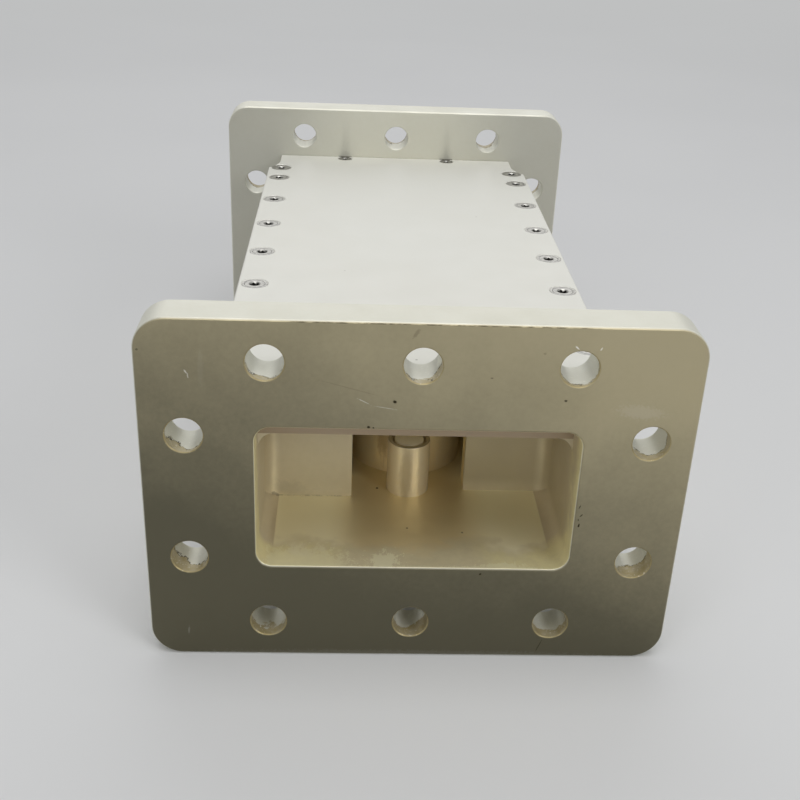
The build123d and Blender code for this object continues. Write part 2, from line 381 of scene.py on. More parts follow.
@dataclass(frozen=True)
class SilverPlate(ShaderSheet):
    """Satin silver plating on aluminium, cloudy and a little yellowed.

    Args:
        name: The material's name.
        fresh: Colour of the clean plating.
        roughness: Mean roughness.
        metallic: Metallic share; the rest is the plating's milky scatter.
        tarnished: Colour where it has yellowed.
        grime_and_shade: Colour of dark specks and dirt, and of painted shade.
        tarnish: Mean share of the tarnished colour.
        cloud: How far that share drifts.
        grain: Height of the fine grain, in millimetres.
    """

    name: str
    fresh: Colour
    roughness: float
    metallic: float
    tarnished: Colour = (0.80, 0.76, 0.66)
    grime_and_shade: Colour = (0.05, 0.04, 0.02)
    tarnish: float = 0.3
    cloud: float = 0.15
    grain: float = 0.006

    def build(self) -> Material:
        """Makes the material.

        Returns:
            The material.
        """
        share = self.total(self.yellowing(), *self.stains())
        colour = self.tint(self.blend(share, self.fresh, self.tarnished))
        rough = self.drift(self.roughness - 0.05, self.roughness + 0.06, 9.0, 4.0, 0.6, 90.0)
        height = self.total(self.times(self.noise(0.4, 3.0, 0.6, 11.0), 0.5), *self.relief())
        dirt_and_shade, bright_marks_and_glints = self.dirt_and_shade(), self.bright_marks_and_glints()
        # Dirt and painted shade darken the colour; bare metal and painted highlights lighten it
        if dirt_and_shade:
            dark = self.most(*dirt_and_shade)
            colour = self.blend(dark, colour, self.grime_and_shade)
            rough = self.total(rough, self.times(dark, 0.3))
        if bright_marks_and_glints:
            colour = self.blend(self.most(*bright_marks_and_glints), colour, BARE_METAL_AND_HIGHLIGHT)
        return self.close(colour, rough, height, self.grain, self.metal())

    def yellowing(self) -> Socket:
        """Share of yellowing that drifts over the whole surface, with a fine mottle in it."""
        broad = self.drift(self.tarnish - self.cloud, self.tarnish + self.cloud, 34.0)
        return self.total(broad, self.drift(-0.4 * self.cloud, 0.4 * self.cloud, 1.3, 4.0, 0.7, 40.0))

    def stains(self) -> list[Socket]:
        """Local shares of yellowing."""
        return []

    def tint(self, colour: Socket) -> Socket:
        """Colour after local tints: none on plain plating."""
        return colour

    def metal(self) -> Number:
        """Metallic share, here the same all over."""
        return self.metallic

    def swell(self, grain: float = 5.0, height: float = 2.0) -> Socket:
        """Broad unevenness, in units of the grain's height."""
        return self.times(self.noise(grain, 2.0, 0.4, 61.0), height)

    def relief(self) -> list[Socket]:
        """Local heights, in the same units."""
        return [self.swell()]

    def dirt_and_shade(self) -> list[Socket]:
        """Local shares of grime and of painted shade."""
        return []

    def bright_marks_and_glints(self) -> list[Socket]:
        """Local shares of bare bright metal and of painted highlights and glints."""
        return []

    def lining(self, colour: Socket, share: Socket) -> Socket:
        """Colours the walls of the waveguide passage: pale at the port, partly as painted light falling in
        there, deep yellow in the cavities, with painted shade on the pocket's walls and painted light and
        shade on its floor.

        Args:
            colour: The colour so far.
            share: Share that is 1 on those walls.

        Returns:
            The colour with its lining.
        """
        cloudy = self.total(self.depth, self.drift(-2.5, 2.5, 9.0, 3.0, 0.6, 12.0))
        floor = self.fade(self.z, TROUGH_FLOOR + 0.01, TROUGH_FLOOR + 0.04, 1.0, 0.0)
        # The floor's middle keeps the port's pale colour further in than its sides
        worn = self.times(floor, self.fade(self.aside, 11.0, 17.0, 0.6, 0.0))
        wall = self.blend(self.most(self.fade(cloudy, 4.0, 10.0), worn), PORT_LINING, POCKET_LINING)
        wall = self.blend(self.fade(self.depth, JAMB_DEPTH, JAMB_DEPTH + 2.2), wall, CAVITY_LINING)
        mottle = self.fade(self.noise(1.6, 4.0, 0.65, 8.0), 0.35, 0.7, 0.0, 0.16)
        wall = self.blend(mottle, wall, POCKET_SHADE)
        # Painted shade on the pocket's walls, stronger towards the right and further in
        shade = self.times(
            self.fade(self.x, -12.0, 12.0, 0.25, 0.95), self.fade(self.x, 17.0, 25.0, 1.0, 0.7),
            self.fade(self.z, -14.0, -11.0), self.fade(cloudy, 2.0, 8.0),
            self.fade(self.depth, JAMB_DEPTH, JAMB_DEPTH + 0.6, 1.0, 0.0),
        )
        # Painted light on the floor's sides and painted shade in its middle
        floor_light_and_shade = self.blend(self.fade(self.aside, 8.0, 17.0), FLOOR_MIDDLE_SHADED, FLOOR_SIDES_LIT)
        wall = self.blend(shade, wall, POCKET_SHADE)
        wall = self.blend(self.times(floor, self.fade(cloudy, 5.0, 10.0)), wall, floor_light_and_shade)
        return self.blend(share, colour, wall)

    def lining_metal(self, share: Socket, outside: Number) -> Socket:
        """Metallic share with the passage's milky walls and its glossier floor.

        Args:
            share: Share that is 1 on the passage's walls.
            outside: Metallic share outside the passage.

        Returns:
            The metallic share.
        """
        lined = self.times(
            self.fade(self.depth, 3.0, 12.0, 0.45, 0.66), self.fade(self.z, -14.4, -13.0, 1.0, 0.62),
            self.fade(self.depth, 30.0, 35.0, 1.0, 0.35),
        )
        return self.total(self.times(self.less(1.0, share), outside), self.times(share, lined))


# Marks on the front port's mating face: place across and up, half length and width, share, slope
DARK_MARKS = (
    (-4.6, 20.1, 0.45, 0.38, 1.0, 0.0),
    (-9.0, 15.05, 0.36, 0.36, 1.0, 0.0),
    (-8.2, 14.9, 0.2, 0.2, 1.0, 0.0),
    (25.1, 20.9, 0.3, 0.25, 0.8, 0.0),
    (11.9, 25.0, 0.3, 0.2, 0.5, 0.0),
    (12.7, -15.7, 0.3, 0.25, 1.0, 0.0),
    (29.9, -0.6, 0.5, 0.15, 0.8, 70.0),
    (30.4, -2.4, 0.45, 0.15, 0.8, 50.0),
    (29.9, -3.4, 0.35, 0.12, 0.7, 100.0),
    (30.1, -4.6, 0.5, 0.18, 1.0, 80.0),
    (-48.3, 29.0, 0.3, 0.25, 0.5, 0.0),
    (-1.4, 33.0, 1.1, 0.4, 0.25, 60.0),
    (20.6, 29.8, 0.3, 0.2, 0.25, 0.0),
    (-12.3, 22.5, 6.2, 0.14, 0.14, -15.0),
    (25.2, -32.5, 1.7, 0.14, 0.6, 70.0),
)
BRIGHT_MARKS_AND_HIGHLIGHT = (
    (26.1, 31.0, 0.6, 0.16, 0.8, -40.0),
    (30.2, 30.9, 0.45, 0.14, 0.7, 60.0),
    (-10.1, 20.1, 1.4, 0.1, 0.45, -27.0),
    (-6.3, 18.9, 2.7, 0.09, 0.3, -9.0),
    (-40.4, 25.1, 0.5, 0.16, 0.5, -60.0),
    (-40.0, 24.3, 0.6, 0.14, 0.4, -85.0),
    (-37.8, 26.0, 4.5, 0.6, 0.03, 88.0),
    (38.5, 19.0, 5.0, 1.6, 0.08, -6.0),
    (-42.1, -29.4, 1.0, 0.25, 0.1, 85.0),
    # Painted highlight along the chamfer of the face's lower edge
    (0.0, -34.8, 50.0, 1.2, 0.045, 0.0),
)

# Pale deposits and painted light on the opening's sill: middle across and inwards, half sizes, share
SILL_DEPOSITS_AND_LIGHT = (
    (-5.4, 2.2, 3.0, 3.2, 0.62),
    # A broad painted pool of light on the left of the sill
    (-21.0, 1.5, 10.0, 5.5, 0.4),
    # A painted highlight streak on the right of the sill
    (16.7, 1.2, 4.4, 1.0, 0.5),
    # Painted highlights along the rim of the sill
    (14.5, 0.4, 11.0, 0.6, 0.5),
    (-17.0, 0.3, 11.0, 0.6, 0.5),
    (2.5, 0.2, 8.0, 0.6, 0.45),
)

# Specks on the trough's floor and on the cover: place across and along, half size, share
FLOOR_SPECKS = ((-6.3, 28.7, 0.32, 0.9), (-0.6, 13.6, 0.28, 0.6), (10.2, 12.3, 0.28, 0.6))
COVER_SPECKS = ((-0.2, 15.5, 0.3, 0.45), (-14.0, 62.0, 0.25, 0.2), (19.0, 104.0, 0.3, 0.2))


@dataclass(frozen=True)
class FlangePlate(SilverPlate):
    """Plating of the flanges: dull mating faces with painted shade, stained bores, a yellow mouth, fine
    marks, and painted light and highlights.

    Args:
        face_lit_colour: Colour of the mating faces at the upper right of the front port, where the painted
            shade is lightest.
        face_shaded_colour: Colour of the mating faces at its lower left, where the painted shade is darkest.
        face_metal: Metallic share of the mating faces.
        stain_colour: Colour of the stains in the bolt holes.
    """

    face_lit_colour: Colour = (0.50, 0.44, 0.285)
    face_shaded_colour: Colour = (0.14, 0.13, 0.088)
    face_metal: float = 0.9
    stain_colour: Colour = (0.42, 0.33, 0.14)

    @cached_property
    def up(self) -> Socket:
        """Height above or below the waveguide's middle."""
        return self.math("ABSOLUTE", self.z)

    @cached_property
    def from_rim(self) -> Socket:
        """Distance outwards from the rim of the nearest bolt hole, in millimetres.

        Returns:
            The distance.
        """
        half = CORNER_X / 2
        in_row = self.less(self.math("ABSOLUTE", self.less(self.aside, half)), half)
        row = self.reach(in_row, self.less(self.up, CORNER_Z))
        side = self.reach(self.less(self.aside, SIDE_X), self.less(self.up, SIDE_Z))
        return self.less(self.math("MINIMUM", row, side), HOLE_RADIUS)

    @cached_property
    def on_face(self) -> Socket:
        """Share that is 1 on both mating faces."""
        return self.fade(self.depth, 0.05, 0.34, 1.0, 0.0)

    @cached_property
    def in_bore(self) -> Socket:
        """Share that is 1 on the walls of the bolt holes."""
        return self.fade(self.from_rim, 0.05, 0.22, 1.0, 0.0)

    @cached_property
    def in_mouth(self) -> Socket:
        """Share that is 1 on the walls of the waveguide opening, its corners included.

        Returns:
            The share.
        """
        r = MOUTH_CORNER
        across = self.math("MAXIMUM", self.less(self.aside, MOUTH_X - r), 0.0)
        up = self.math("MAXIMUM", self.less(self.up, MOUTH_Z - r), 0.0)
        return self.fade(self.reach(across, up), r + 0.01, r + 0.1, 1.0, 0.0)

    @cached_property
    def stain_edge(self) -> Socket:
        """Depth beyond the ragged end of the stain in a bolt hole, in millimetres.

        Returns:
            The depth.
        """
        long = self.fade(self.noise(7.0, 1.0, 0.5, 55.0), 0.4, 0.62, 0.9, 3.0)
        low = self.fade(self.z, -24.0, 10.0, 1.4, 0.0)
        ragged = self.drift(-0.7, 0.7, 1.0, 4.0, 0.7, 77.0, edge=0.25)
        return self.less(self.depth, self.total(long, low, ragged))

    def metal(self) -> Number:
        """Metallic share: milkier in the opening and in the bores than outside.

        Returns:
            The share.
        """
        face = self.times(self.on_face, self.face_metal)
        rest = self.times(self.less(1.0, self.on_face), self.metallic)
        lined = self.lining_metal(self.in_mouth, self.total(face, rest))
        return self.math("MINIMUM", lined, self.fade(self.in_bore, 0.0, 1.0, 1.0, 0.45))

    def stains(self) -> list[Socket]:
        """Less yellowing in the bores."""
        return [self.times(self.in_bore, -0.1)]

    def face_tarnish_and_shade(self) -> Socket:
        """Tarnish of the mating faces, cloudy and finely mottled, with painted shade that darkens it towards
        the lower left.

        Returns:
            The colour.
        """
        # Painted shade: the colour darkens towards the bottom and the left
        slope = self.add("Math", self.x, 0.35, self.z, operation="MULTIPLY_ADD").outputs[0]
        cloud = self.drift(-5.0, 5.0, 22.0, 4.0, 0.55, 6.0)
        mottle = self.drift(-2.2, 2.2, 1.1, 5.0, 0.7, 26.0, edge=0.25)
        share = self.fade(self.total(slope, cloud, mottle), -23.0, 47.0)
        return self.blend(share, self.face_shaded_colour, self.face_lit_colour)

    def tint(self, colour: Socket) -> Socket:
        """Colours the mating faces, the opening's walls and the stained part of the bores, and paints shade
        on the rear flange's inner face towards its sides.

        Args:
            colour: The colour so far.

        Returns:
            The tinted colour.
        """
        colour = self.blend(self.on_face, colour, self.face_tarnish_and_shade())
        colour = self.lining(colour, self.in_mouth)
        # Pale deposits, painted light and painted highlights on the sill
        colour = self.blend(self.deposits_and_light(), colour, PALE_DEPOSIT_AND_LIGHT)
        stain = self.times(
            self.fade(self.stain_edge, -0.15, 0.1, 0.9, 0.0), self.in_bore,
            self.drift(0.75, 1.0, 2.0, 3.0, 0.6, 12.0),
        )
        # Painted shade on the rear flange's inner face, darker towards its sides
        inner = span("rear_flange")[0].y
        side_shade = self.times(
            self.fade(self.aside, 8.0, 38.0, 0.0, 0.25), self.within(self.y, inner - 0.1, inner + 0.1, 0.05)
        )
        return self.blend(side_shade, self.blend(stain, colour, self.stain_colour), SHADOW_GREY)

    def deposits_and_light(self) -> Socket:
        """Pale ragged deposits on the opening's sill, with painted light and painted highlights there.

        Returns:
            Their share.
        """
        ragged = self.drift(0.35, 1.75, 1.1, 5.0, 0.8, 47.0, (1.0, 2.0, 1.0), edge=0.25)
        sill = [
            self.spot((x, y, -MOUTH_Z), (long, wide, 0.5), share, 0.75, ragged)
            for x, y, long, wide, share in SILL_DEPOSITS_AND_LIGHT
        ]
        return self.times(self.most(*sill), self.in_mouth)

    def marks(self, rows: tuple[tuple[float, ...], ...]) -> list[Socket]:
        """Shares of the front face's marks in one table."""
        ragged = self.drift(0.6, 1.4, 0.5, 3.0, 0.7, 23.0, edge=0.2)
        return [
            self.spot((x, 0.0, z), (length, 0.5, width), share, 0.5, ragged, slope)
            for x, z, length, width, share, slope in rows
        ]

    def dirt_and_shade(self) -> list[Socket]:
        """Dark specks and smudges, the stains' dark ends, nicks along the front's top edge, and painted shade
        and reflection at the rear end screws.

        Returns:
            Their shares.
        """
        broken = self.fade(self.noise(1.6, 3.0, 0.7, 3.0), 0.42, 0.55, 0.0, 0.9)
        line = self.times(
            self.within(self.stain_edge, -0.2, 0.1, 0.08), self.in_bore, broken,
            self.fade(self.z, -23.0, -16.0),
        )
        edge = self.times(
            self.within(self.z, 34.54, 34.68, 0.05), self.within(self.y, -0.1, 0.3),
            self.fade(self.noise(0.7, 4.0, 0.7, 19.0, (2.5, 1.0, 1.0)), 0.4, 0.62, 0.15, 0.65),
            self.within(self.x, -20.0, 26.0, 5.0),
        )
        return [*self.marks(DARK_MARKS), line, edge, *self.end_screw_shade()]

    def end_screw_shade(self) -> list[Socket]:
        """Painted shadow where the rear end screws meet the flange, and above each a faint streak that is a
        painted reflection of its dark head.

        Returns:
            The shares of the painted shadows and of the reflected streaks.
        """
        low, high = span("cover_end_screws_rear")
        head = (high.y - low.y) / 2
        place = (high.x - low.x) / 2 - head
        across = self.math("ABSOLUTE", self.less(self.aside, place))
        there = self.within(self.y, high.y - 0.1, high.y + 0.3)
        # Painted shadow on the flange's foot beside each rear end screw
        foot_shade = self.times(
            there, self.fade(across, head - 0.3, head + 0.1, 0.8, 0.0),
            self.fade(self.z, high.z, high.z + 0.45, 1.0, 0.0),
        )
        # Painted reflection of the dark head in the flange's face
        reflected_streak = self.times(
            there, self.drift(0.4, 1.0, 1.5, 3.0, 0.6, 81.0, (1.0, 1.0, 4.0)),
            self.fade(across, 0.0, head, 0.22, 0.0), self.fade(self.z, high.z, high.z + 13.0, 1.0, 0.0),
        )
        above = self.fade(self.z, high.z - 1.0, high.z - 0.5)
        return [self.times(foot_shade, above), self.times(reflected_streak, above)]

    def bright_marks_and_glints(self) -> list[Socket]:
        """Bright scratches of the front face with a painted highlight along its lower edge, and bare grains
        in the bolt holes painted as glints.
        """
        # Painted glints: sparkle on grains in the bolt holes
        grains = self.fade(self.noise(0.5, 2.0, 0.7, 67.0), 0.6, 0.7, 0.0, 0.4)
        return [*self.marks(BRIGHT_MARKS_AND_HIGHLIGHT), self.times(grains, self.in_bore)]


@dataclass(frozen=True)
class HousingPlate(SilverPlate):
    """Plating of the milled housing: yellower inside the trough, with cutter marks on its floor.

    Args:
        seam: Depth of the flange's inner face below the mating face, in millimetres.
        lintel_z: Height of the end window's upper edge.
        lintel_shade_colour: Colour of the end wall above that window, painted dark as shade.
        jamb: Depth of the left jamb's face in the pocket.
    """

    seam: float = 8.3
    lintel_z: float = 9.04
    lintel_shade_colour: Colour = (0.39, 0.302, 0.205)
    jamb: float = 25.3

    @cached_property
    def inside(self) -> Socket:
        """Share that is 1 inside the trough."""
        across = self.fade(self.aside, MOUTH_X + 0.05, MOUTH_X + 0.3, 1.0, 0.0)
        return self.times(across, self.fade(self.z, TROUGH_FLOOR - 0.3, TROUGH_FLOOR - 0.05))

    def tint(self, colour: Socket) -> Socket:
        """Colours the trough, and paints shade on the end wall that shows above each end window.

        Args:
            colour: The colour so far.

        Returns:
            The tinted colour.
        """
        lined = self.lining(colour, self.inside)
        # Painted shade on the end wall above the window, for the dark it reflects
        lintel_shade = self.times(
            self.inside, self.fade(self.depth, self.seam, self.seam + 0.05, 1.0, 0.0),
            self.fade(self.z, self.lintel_z - 0.1, self.lintel_z),
        )
        return self.blend(lintel_shade, lined, self.lintel_shade_colour)

    def metal(self) -> Number:
        """Metallic share: milkier inside the trough than outside."""
        return self.lining_metal(self.inside, self.metallic)

    def relief(self) -> list[Socket]:
        """Broad swell, and faint cutter marks that run across the floor."""
        return [self.swell(), self.times(self.noise(0.9, 2.0, 0.6, 5.0, (14.0, 1.0, 14.0)), 0.7)]

    def dirt_and_shade(self) -> list[Socket]:
        """Specks on the floor, and painted shade along the foot of the left jamb and in two crescents there.

        Returns:
            Their shares.
        """
        specks = [
            self.spot((x, y, TROUGH_FLOOR), (size, 1.2 * size, 0.5), share)
            for x, y, size, share in FLOOR_SPECKS
        ]
        # Painted shade in the corner at the foot of the left jamb
        foot_shade = self.times(
            self.within(self.z, TROUGH_FLOOR + 0.02, TROUGH_FLOOR + 0.14, 0.06),
            self.within(self.y, self.jamb - 0.1, self.jamb + 0.1), self.within(self.x, -28.0, -11.7, 0.1),
            self.drift(0.0, 0.4, 1.6, 3.0, 0.7, 37.0, edge=0.4),
        )
        ragged = self.drift(0.5, 1.5, 1.2, 3.0, 0.7, 31.0, edge=0.2)
        shade_crescents = [
            self.spot((x, self.jamb, TROUGH_FLOOR + rise), half, share, start, ragged, turn)
            for x, rise, half, share, start, turn in (
                (-27.3, 0.6, (1.5, 1.2, 0.35), 0.4, 0.6, -35.0),
                (-24.5, 1.6, (6.0, 1.0, 2.4), 0.14, 0.2, -8.0),
            )
        ]
        return [*specks, foot_shade, *shade_crescents]


@dataclass(frozen=True)
class CoverPlate(SilverPlate):
    """Plating of the cover: clean and milky, with a long fine grain."""

    def relief(self) -> list[Socket]:
        """Broad swell, and a fine grain along the waveguide."""
        return [self.swell(12.0, 0.8), self.times(self.noise(0.25, 2.0, 0.5, 17.0, (1.0, 30.0, 1.0)), 0.3)]

    def dirt_and_shade(self) -> list[Socket]:
        """A few faint specks on the cover's top."""
        top = span("top_cover")[1].z
        return [self.spot((x, y, top), (size, size, 0.5), share) for x, y, size, share in COVER_SPECKS]


@dataclass(frozen=True)
class TurnedPlate(SilverPlate):
    """Plating over turned metal: fine rings round an upright axis.

    Args:
        tool_step: Height between two tool marks, in millimetres.
        end_post: Depth below the ports' faces up to which the plating is duller.
        dull_metal: Metallic share there.
        end_grey: How far the colour is greyed there.
        ring_z: Height of the coupling posts' tops.
        ring_share: How strongly those are darkened.
    """

    tool_step: float = 0.22
    end_post: float = 34.2
    dull_metal: float = 0.5
    end_grey: float = 0.2
    ring_z: float = -3.04
    ring_share: float = 0.62

    def tint(self, colour: Socket) -> Socket:
        """Greys the end posts, paints a dark streak on the first post, partly stain and partly painted
        reflection, and paints shade on the resonator's left behind it.

        Args:
            colour: The colour so far.

        Returns:
            The tinted colour.
        """
        end = self.fade(self.depth, self.end_post, self.end_post + 0.4, self.end_grey, 0.0)
        colour = self.blend(end, colour, POST_GREY)
        ragged = self.drift(0.8, 1.2, 0.9, 4.0, 0.65, 43.0, (1.0, 1.0, 5.0), edge=0.25)
        # Dark streak on the first post: partly stain, partly painted reflection; dark patch on the resonator:
        # painted shade
        for centre, half, start, share, dark in (
            ((-0.6, 25.2, -9.0), (1.7, 2.0, 12.0), 0.3, 0.7, (0.42, 0.34, 0.2)),
            ((-4.9, 36.3, -2.0), (2.4, 3.0, 11.5), 0.5, 0.65, (0.25, 0.17, 0.07)),
        ):
            colour = self.blend(self.spot(centre, half, share, start, ragged), colour, dark)
        ring = self.within(self.z, self.ring_z - 0.05, self.ring_z + 0.05, 0.03)
        return self.blend(self.times(ring, self.ring_share), colour, POST_RING)

    def metal(self) -> Number:
        """Metallic share: duller near the ports than further in."""
        return self.fade(self.depth, self.end_post, self.end_post + 0.4, self.dull_metal, self.metallic)

    def relief(self) -> list[Socket]:
        """Tool marks, a little uneven."""
        return [self.times(self.noise(self.tool_step, 2.0, 0.6, 29.0, (90.0, 90.0, 1.0)), 1.2)]


@dataclass(frozen=True)
class PlainSteel(ShaderSheet):
    """Bare stainless steel of the small fasteners, with dirt and painted shade low in their recesses, and
    painted shade over the end screws.

    Args:
        name: The material's name.
        colour: Colour of the metal.
        worn: Colour where it has been rubbed.
        face_z: Height of the fasteners' face in the part's frame, in millimetres.
        dirt_and_shade_share: How strongly the dirt and painted shade show.
        dirt_and_shade_depth: Height below that face at which the dirt and painted shade begin.
        roughness: Mean roughness.
        shaded_end: Depth below the ports' faces up to which the fasteners are painted darker all over, as
            shade.
        shaded_reach: How far to each side of the middle that is so.
    """

    name: str
    colour: Colour
    worn: Colour
    face_z: float
    dirt_and_shade_share: float = 0.75
    dirt_and_shade_depth: float = 0.15
    roughness: float = 0.36
    shaded_end: float = 12.6
    shaded_reach: float = 23.0

    def build(self) -> Material:
        """Makes the material.

        Returns:
            The material.
        """
        rubbed = self.fade(self.noise(0.8, 4.0, 0.6, 13.0), 0.4, 0.65)
        # Dirt and painted shade: darker low in the recesses and grooves
        below = self.less(self.face_z, self.z)
        low = self.fade(below, self.dirt_and_shade_depth, self.dirt_and_shade_depth + 0.35, 0.0, self.dirt_and_shade_share)
        # Painted shade: the end screws are darker all over
        end = self.times(
            self.fade(self.off_middle, MIDDLE - self.shaded_end - 0.2, MIDDLE - self.shaded_end),
            self.within(self.x, -self.shaded_reach, self.shaded_reach), 0.4 * self.dirt_and_shade_share,
        )
        colour = self.blend(self.most(low, end), self.blend(rubbed, self.colour, self.worn), SCREW_DIRT_AND_SHADE)
        rough = self.drift(self.roughness - 0.06, self.roughness + 0.08, 0.5, 3.0, 0.5, 2.0)
        return self.close(colour, rough, self.noise(0.15, 3.0, 0.6, 71.0), 0.004)


@dataclass(frozen=True)
class PaleFloor(ShaderSheet):
    """Matt pale floor with a barely visible cloud in it, which turns into the backdrop far out.

    Args:
        name: The material's name.
        near: Distance from the part up to which the floor takes light and shadow, in millimetres.
        far: Distance from which only the backdrop's colour shows.
        light: Lighter colour of the cloud.
        dark: Its darker colour.
    """

    name: str = "pale_floor"
    near: float = 450.0
    far: float = 1100.0
    light: Colour = (0.78, 0.785, 0.79)
    dark: Colour = (0.76, 0.765, 0.77)

    def build(self) -> Material:
        """Makes the material.

        Returns:
            The material.
        """
        cloud = self.noise(160.0)
        rough = self.fade(cloud, 0.3, 0.7, 0.75, 0.85)
        material = self.close(self.blend(cloud, self.light, self.dark), rough, self.noise(3.0), 0.01, 0.0)
        share = self.times(
            self.fade(self.reach(self.x, self.y), self.near, self.far), seen_directly(material.node_tree)
        )
        glow = self.add("Emission", (*BACKDROP, 1.0))
        mix = self.add("MixShader", share, self.shader.outputs[0], glow.outputs[0])
        self.feed(material.node_tree.nodes["Material Output"].inputs["Surface"], mix.outputs[0])
        return material


# Modelling, mostly with Blender's own operators


def deselect() -> None:
    """Deselects everything."""
    bpy.ops.object.select_all(action="DESELECT")


def hold(piece: Piece) -> None:
    """Makes one piece the only selected and the active one.

    Args:
        piece: The piece.
    """
    deselect()
    piece.select_set(True)
    bpy.context.view_layer.objects.active = piece


def mode(name: str) -> None:
    """Turns to "EDIT" or "OBJECT" mode."""
    bpy.ops.object.mode_set(mode=name)


def rename(name: str) -> Piece:
    """Names the piece that was just added, and its mesh.

    Args:
        name: The name of both.

    Returns:
        The piece.
    """
    piece = bpy.context.object
    piece.name = name
    piece.data.name = name
    return piece


def pick(piece: Piece, kind: str, wanted: Callable[[object], bool]) -> None:
    """In edit mode, selects only the elements that pass a test.

    Args:
        piece: The piece being edited.
        kind: "verts", "edges" or "faces".
        wanted: The test.
    """
    bpy.ops.mesh.select_mode(type={"verts": "VERT", "edges": "EDGE", "faces": "FACE"}[kind])
    bpy.ops.mesh.select_all(action="DESELECT")
    mesh = bmesh.from_edit_mesh(piece.data)
    for element in getattr(mesh, kind):
        if wanted(element):
            element.select_set(True)
    mesh.select_flush_mode()
    bmesh.update_edit_mesh(piece.data)


def level(z: float) -> Callable[[object], bool]:
    """Test for elements that lie level at one height, in millimetres."""
    return lambda element: all(abs(v.co.z - z * MM) < 1e-6 for v in getattr(element, "verts", [element]))


def extrude(height: float) -> None:
    """Draws the selected faces out upwards by a height in millimetres, downwards below 0."""
    bpy.ops.mesh.extrude_region_move(TRANSFORM_OT_translate={"value": (0, 0, height * MM)})


def widen(factor: float) -> None:
    """Scales what is selected about the Z axis."""
    bpy.ops.transform.resize(value=(factor, factor, 1), center_override=(0, 0, 0))


def peg(radius: float, top: float, bottom: float, facets: int,
        place: tuple[float, float] = (0.0, 0.0)) -> Piece:
    """Adds a round peg, with sizes in millimetres.

    Args:
        radius: Its radius.
        top: Height of its top.
        bottom: Height of its bottom.
        facets: Facets round it.
        place: X and Y of its axis.

    Returns:
        The peg.
    """
    deselect()
    bpy.ops.mesh.primitive_cylinder_add(
        vertices=facets, radius=radius * MM, depth=(top - bottom) * MM,
        location=(place[0] * MM, place[1] * MM, (top + bottom) / 2 * MM),
    )
    piece = rename("peg")
    bpy.ops.object.transform_apply(location=True)
    return piece


def combine(piece: Piece, tool: Piece, operation: str) -> None:
    """Applies one boolean and throws the tool away.

    Args:
        piece: The piece that stays.
        tool: The other one.
        operation: "DIFFERENCE", "INTERSECT" or "UNION".
    """
    hold(piece)
    modifier = piece.modifiers.new("shape", "BOOLEAN")
    modifier.operation = operation
    modifier.object = tool
    modifier.solver = "EXACT"
    bpy.ops.object.modifier_apply(modifier=modifier.name)
    scrap(tool)


def smooth(piece: Piece, degrees: float = 32.0) -> None:
    """Shades a piece smooth up to an angle between faces."""
    hold(piece)
    bpy.ops.object.shade_smooth_by_angle(angle=math.radians(degrees))


def copy(piece: Piece, name: str, place: Vector, turn: float) -> Piece:
    """Copies a piece with its own mesh, which is turned about Z and moved.

    Args:
        piece: The piece to copy.
        name: The copy's name.
        place: Move, in metres.
        turn: Turn, in degrees.

    Returns:
        The copy.
    """
    twin = piece.copy()
    twin.data = piece.data.copy()
    twin.name = name
    twin.data.name = name
    twin.data.transform(Matrix.Translation(place) @ Matrix.Rotation(math.radians(turn), 4, "Z"))
    bpy.context.scene.collection.objects.link(twin)
    return twin


def scrap(piece: Piece) -> None:
    """Removes a piece that is done with, and its mesh.

    Args:
        piece: The piece.
    """
    mesh = piece.data
    bpy.data.objects.remove(piece)
    bpy.data.meshes.remove(mesh)


class Wardrobe:
    """Every finish, made once, by slot."""

    def __init__(self) -> None:
        """Builds the materials."""
        cover_top = span("top_cover")[1].z
        underside = span("housing")[0].z
        finishes = {
            Slot.HOUSING: HousingPlate(
                "plated_housing", (0.80, 0.79, 0.74), 0.44, 0.4, tarnished=(0.78, 0.69, 0.50),
            ),
            Slot.FLANGE: FlangePlate(
                "plated_flange", (0.76, 0.755, 0.665), 0.43, 0.4, tarnished=(0.60, 0.555, 0.40),
                tarnish=0.14, cloud=0.08,
            ),
            Slot.COVER: CoverPlate(
                "plated_cover", (0.83, 0.828, 0.768), 0.48, 0.15, tarnish=0.12, cloud=0.06,
            ),
            Slot.RESONATOR: TurnedPlate(
                "plated_resonator", (0.98, 0.94, 0.80), 0.42, 0.35, tarnished=(1.0, 0.82, 0.46), tarnish=0.75,
            ),
            Slot.ROD: TurnedPlate(
                "plated_rod", (1.0, 0.93, 0.74), 0.4, 0.6, tarnished=(1.0, 0.86, 0.54), tarnish=0.4,
                dull_metal=0.05, end_grey=0.0, ring_share=0.0,
            ),
            Slot.SCREW: PlainSteel("steel_screw", (0.42, 0.41, 0.385), (0.57, 0.56, 0.525), cover_top),
            Slot.NUT: PlainSteel("steel_nut", (0.50, 0.49, 0.46), (0.62, 0.61, 0.58), underside, 0.0),
        }
        self.materials = {slot: finish.build() for slot, finish in finishes.items()}

    def dress(self, piece: Piece, slot: Slot) -> None:
        """Gives a piece one finish all over."""
        piece.data.materials.clear()
        piece.data.materials.append(self.materials[slot])


# Sub-assemblies


# Facets round a screw's head, its recess's core, one lobe and the mouth, and round a rod
HEAD_FACETS, CORE_FACETS, LOBE_FACETS, MOUTH_FACETS, ROD_FACETS = 64, 36, 20, 48, 48
# Turns of thread that are made below a rod's tail, and those made beyond its length in all
TURNS_BELOW, SPARE_TURNS = 1.5, 4


@dataclass(frozen=True)
class CadGroup:
    """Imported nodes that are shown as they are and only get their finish.

    Args:
        slot: The finish's slot.
        nodes: The nodes' names.
    """

    slot: Slot
    nodes: tuple[str, ...]

    def dress(self, wardrobe: Wardrobe) -> None:
        """Dresses each node.

        Args:
            wardrobe: The finishes.
        """
        for name in self.nodes:
            wardrobe.dress(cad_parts[name], self.slot)
            LOG.info("%s dressed as %s", name, self.slot.value)


